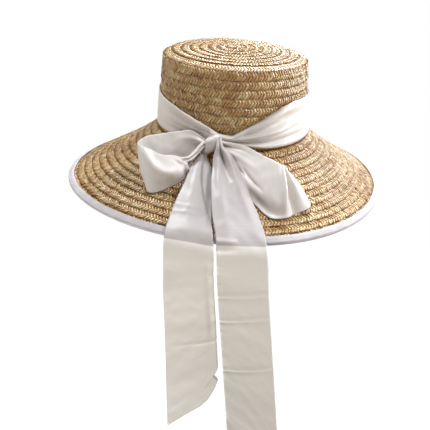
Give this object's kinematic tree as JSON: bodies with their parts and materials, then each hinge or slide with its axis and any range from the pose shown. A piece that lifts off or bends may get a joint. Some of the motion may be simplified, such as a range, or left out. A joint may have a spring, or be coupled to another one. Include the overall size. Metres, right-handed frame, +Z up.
{
  "type": "wide-brim straw hat",
  "caption": "Wide-brim hat of sewn straw braid with a bound rim, and a satin ribbon round its crown tied in a bow whose long tails hang below the brim.",
  "frame": {"origin": "centre of the head opening, in the plane where the crown meets the brim", "axes": "+Z straight up as the hat is worn, the head's long axis along Y with the bow facing -Y, and the opening's plane leaning 4.4 degrees down towards +X"},
  "size_m": [0.3702, 0.4048, 0.4402],
  "materials": {
    "straw_braid": "natural straw with a slight gloss",
    "satin_ribbon": "satin",
    "bias_binding": "matte cloth"
  },
  "bodies": {
    "root": {"crown": "straw_braid", "brim": "straw_braid", "brim_binding": "bias_binding", "hat_band": "satin_ribbon", "bow_knot": "satin_ribbon", "bow_loop_left": "satin_ribbon", "bow_loop_right": "satin_ribbon", "ribbon_tail_left": "satin_ribbon", "ribbon_tail_right": "satin_ribbon"}
  },
  "joints": []
}
